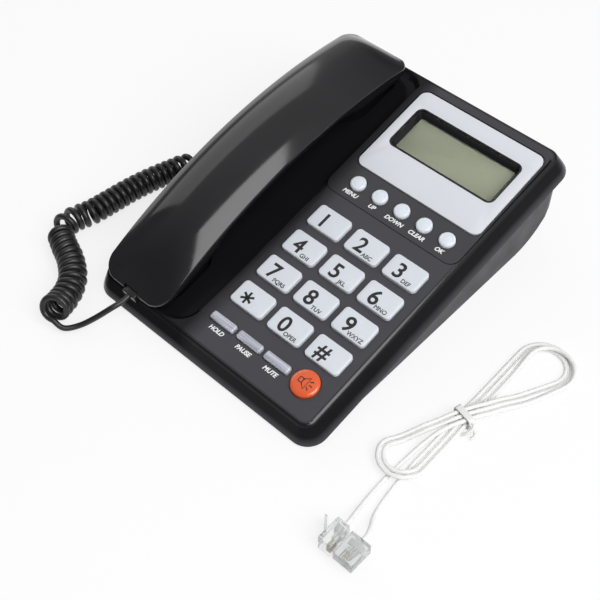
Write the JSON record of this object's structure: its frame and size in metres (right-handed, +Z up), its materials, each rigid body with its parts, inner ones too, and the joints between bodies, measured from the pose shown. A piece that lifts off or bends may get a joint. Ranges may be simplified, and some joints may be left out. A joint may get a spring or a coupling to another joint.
{
  "type": "corded telephone",
  "caption": "Desk telephone with a lift-off handset in a side cradle, sprung dial keys, a framed display, a curly handset cord and a tied line cord.",
  "frame": {"origin": "on the table under the middle of the case, cords left out", "axes": "+X to the user's right, +Y towards the back of the case, +Z up from the table"},
  "size_m": [0.2357, 0.2096, 0.0605],
  "materials": {
    "case_charcoal": "charcoal, satin panel with gloss walls",
    "case_grey": "dark grey, fine texture",
    "handset_black": "black, high gloss",
    "plate_silver": "pale silver lacquer",
    "window_clear": "clear",
    "lcd_glass": "grey-green, unlit",
    "board_green": "green board",
    "mat_rubber": "grey silicone",
    "speaker_metal": "black frame and magnet",
    "jack_black": "black",
    "foot_rubber": "black",
    "screw_steel": "zinc plated",
    "capsule_metal": "plain",
    "weight_steel": "plain",
    "cord_black": "black, satin",
    "plug_black": "black",
    "cord_white": "white, satin",
    "tie_white": "white",
    "plug_clear": "clear",
    "key_white": "lavender white, gloss",
    "key_bar": "lavender white, gloss",
    "key_pearl": "pearl white, gloss",
    "key_orange": "orange, gloss"
  },
  "bodies": {
    "base": {"top_shell": "case_charcoal", "bottom_shell": "case_grey", "display_housing": "case_charcoal", "display_plate": "plate_silver", "display_window": "window_clear", "lcd_panel": "lcd_glass", "display_board": "board_green", "main_board": "board_green", "keypad_mat": "mat_rubber", "loudspeaker": "speaker_metal", "line_jack": "jack_black", "handset_cord_jack": "jack_black", "hook_switch": "jack_black", "rubber_feet": "foot_rubber", "case_screws": "screw_steel", "handset_cord": "cord_black", "handset_cord_base_plug": "plug_black", "line_cord": "cord_white", "line_cord_tie": "tie_white", "line_plug_a": "plug_clear", "line_plug_b": "plug_clear"},
    "handset": {"handset_upper_shell": "handset_black", "handset_lower_shell": "handset_black", "earpiece_capsule": "capsule_metal", "microphone_capsule": "capsule_metal", "handset_weight": "weight_steel", "handset_jack": "jack_black", "handset_cord_plug": "plug_black"},
    "hook": {"hook_plunger": "case_grey"},
    "key_1": {"key_1": "key_white"},
    "key_2": {"key_2": "key_white"},
    "key_3": {"key_3": "key_white"},
    "key_4": {"key_4": "key_white"},
    "key_5": {"key_5": "key_white"},
    "key_6": {"key_6": "key_white"},
    "key_7": {"key_7": "key_white"},
    "key_8": {"key_8": "key_white"},
    "key_9": {"key_9": "key_white"},
    "key_star": {"key_star": "key_white"},
    "key_0": {"key_0": "key_white"},
    "key_hash": {"key_hash": "key_white"},
    "key_hold": {"key_hold": "key_bar"},
    "key_pause": {"key_pause": "key_bar"},
    "key_mute": {"key_mute": "key_bar"},
    "key_loudspeaker": {"key_loudspeaker": "key_orange"},
    "key_menu": {"key_menu": "key_pearl"},
    "key_up": {"key_up": "key_pearl"},
    "key_down": {"key_down": "key_pearl"},
    "key_clear": {"key_clear": "key_pearl"},
    "key_ok": {"key_ok": "key_pearl"}
  },
  "joints": [
    {"name": "handset_lift", "type": "slide", "parent": "base", "child": "handset", "axis": [0, -0.1908, 0.9816], "range_m": [0, 0.08]},
    {"name": "hook_rise", "type": "slide", "parent": "base", "child": "hook", "axis": [0, -0.1908, 0.9816], "range_m": [0, 0.004]},
    {"name": "key_1_press", "type": "slide", "parent": "base", "child": "key_1", "axis": [0, 0.1908, -0.9816], "range_m": [0, 0.0012], "stiffness_N_per_m": 300, "springref_m": -0.0005},
    {"name": "key_2_press", "type": "slide", "parent": "base", "child": "key_2", "axis": [0, 0.1908, -0.9816], "range_m": [0, 0.0012], "stiffness_N_per_m": 300, "springref_m": -0.0005},
    {"name": "key_3_press", "type": "slide", "parent": "base", "child": "key_3", "axis": [0, 0.1908, -0.9816], "range_m": [0, 0.0012], "stiffness_N_per_m": 300, "springref_m": -0.0005},
    {"name": "key_4_press", "type": "slide", "parent": "base", "child": "key_4", "axis": [0, 0.1908, -0.9816], "range_m": [0, 0.0012], "stiffness_N_per_m": 300, "springref_m": -0.0005},
    {"name": "key_5_press", "type": "slide", "parent": "base", "child": "key_5", "axis": [0, 0.1908, -0.9816], "range_m": [0, 0.0012], "stiffness_N_per_m": 300, "springref_m": -0.0005},
    {"name": "key_6_press", "type": "slide", "parent": "base", "child": "key_6", "axis": [0, 0.1908, -0.9816], "range_m": [0, 0.0012], "stiffness_N_per_m": 300, "springref_m": -0.0005},
    {"name": "key_7_press", "type": "slide", "parent": "base", "child": "key_7", "axis": [0, 0.1908, -0.9816], "range_m": [0, 0.0012], "stiffness_N_per_m": 300, "springref_m": -0.0005},
    {"name": "key_8_press", "type": "slide", "parent": "base", "child": "key_8", "axis": [0, 0.1908, -0.9816], "range_m": [0, 0.0012], "stiffness_N_per_m": 300, "springref_m": -0.0005},
    {"name": "key_9_press", "type": "slide", "parent": "base", "child": "key_9", "axis": [0, 0.1908, -0.9816], "range_m": [0, 0.0012], "stiffness_N_per_m": 300, "springref_m": -0.0005},
    {"name": "key_star_press", "type": "slide", "parent": "base", "child": "key_star", "axis": [0, 0.1908, -0.9816], "range_m": [0, 0.0012], "stiffness_N_per_m": 300, "springref_m": -0.0005},
    {"name": "key_0_press", "type": "slide", "parent": "base", "child": "key_0", "axis": [0, 0.1908, -0.9816], "range_m": [0, 0.0012], "stiffness_N_per_m": 300, "springref_m": -0.0005},
    {"name": "key_hash_press", "type": "slide", "parent": "base", "child": "key_hash", "axis": [0, 0.1908, -0.9816], "range_m": [0, 0.0012], "stiffness_N_per_m": 300, "springref_m": -0.0005},
    {"name": "key_hold_press", "type": "slide", "parent": "base", "child": "key_hold", "axis": [0, 0.1908, -0.9816], "range_m": [0, 0.0012], "stiffness_N_per_m": 300, "springref_m": -0.0005},
    {"name": "key_pause_press", "type": "slide", "parent": "base", "child": "key_pause", "axis": [0, 0.1908, -0.9816], "range_m": [0, 0.0012], "stiffness_N_per_m": 300, "springref_m": -0.0005},
    {"name": "key_mute_press", "type": "slide", "parent": "base", "child": "key_mute", "axis": [0, 0.1908, -0.9816], "range_m": [0, 0.0012], "stiffness_N_per_m": 300, "springref_m": -0.0005},
    {"name": "key_loudspeaker_press", "type": "slide", "parent": "base", "child": "key_loudspeaker", "axis": [0, 0.1908, -0.9816], "range_m": [0, 0.0012], "stiffness_N_per_m": 300, "springref_m": -0.0005},
    {"name": "key_menu_press", "type": "slide", "parent": "base", "child": "key_menu", "axis": [0, 0.2164, -0.9763], "range_m": [0, 0.0012], "stiffness_N_per_m": 300, "springref_m": -0.0005},
    {"name": "key_up_press", "type": "slide", "parent": "base", "child": "key_up", "axis": [0, 0.2164, -0.9763], "range_m": [0, 0.0012], "stiffness_N_per_m": 300, "springref_m": -0.0005},
    {"name": "key_down_press", "type": "slide", "parent": "base", "child": "key_down", "axis": [0, 0.2164, -0.9763], "range_m": [0, 0.0012], "stiffness_N_per_m": 300, "springref_m": -0.0005},
    {"name": "key_clear_press", "type": "slide", "parent": "base", "child": "key_clear", "axis": [0, 0.2164, -0.9763], "range_m": [0, 0.0012], "stiffness_N_per_m": 300, "springref_m": -0.0005},
    {"name": "key_ok_press", "type": "slide", "parent": "base", "child": "key_ok", "axis": [0, 0.2164, -0.9763], "range_m": [0, 0.0012], "stiffness_N_per_m": 300, "springref_m": -0.0005}
  ],
  "couplings": [
    {"joint": "hook_rise", "follows": "handset_lift", "ratio": 0.05}
  ]
}
